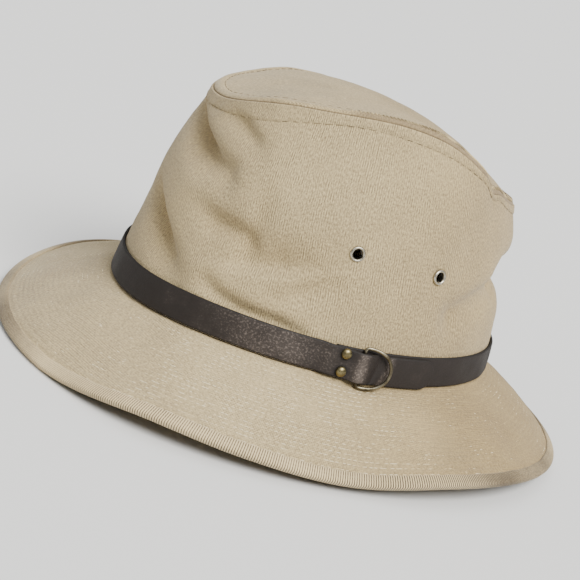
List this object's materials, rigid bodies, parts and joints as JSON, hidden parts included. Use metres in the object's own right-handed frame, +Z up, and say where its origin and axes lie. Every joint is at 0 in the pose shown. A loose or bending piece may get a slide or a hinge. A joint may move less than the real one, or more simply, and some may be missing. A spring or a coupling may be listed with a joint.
{
  "type": "fedora hat",
  "caption": "Soft cotton fedora with a pinched crown, a stitched brim that dips at the front, a lapped leather hat band and a D-ring hanging at the wearer's left.",
  "frame": {"origin": "centre of the hat's outline as seen from above, on the surface that the brim rests on", "axes": "+X towards the wearer's left, where the ring hangs; -Y towards the front; +Z up through the tip of the crown"},
  "size_m": [0.2727, 0.3125, 0.1563],
  "materials": {
    "cotton": "khaki cotton twill, matt, washed",
    "ribbed_tape": "ribbed cotton tape, matt",
    "brown_leather": "dark brown leather, rubbed grey at its high places",
    "aged_brass": "antique brass, satin",
    "pale_metal": "pale nickel plate, worn towards brass"
  },
  "bodies": {
    "hat": {"crown_side": "cotton", "crown_tip": "cotton", "brim": "cotton", "brim_binding": "ribbed_tape", "hat_band": "brown_leather", "rivet_upper": "aged_brass", "rivet_lower": "aged_brass", "eyelet_left_front": "pale_metal", "eyelet_left_back": "pale_metal", "eyelet_right_front": "pale_metal", "eyelet_right_back": "pale_metal"},
    "ring": {"d_ring": "aged_brass"}
  },
  "joints": [
    {"name": "ring_swing", "type": "hinge", "parent": "hat", "child": "ring", "pos_m": [0.0837, -0.012, 0.04452], "axis": [0.0916, -0.0089, -0.9958], "range_deg": [0, 150]}
  ]
}
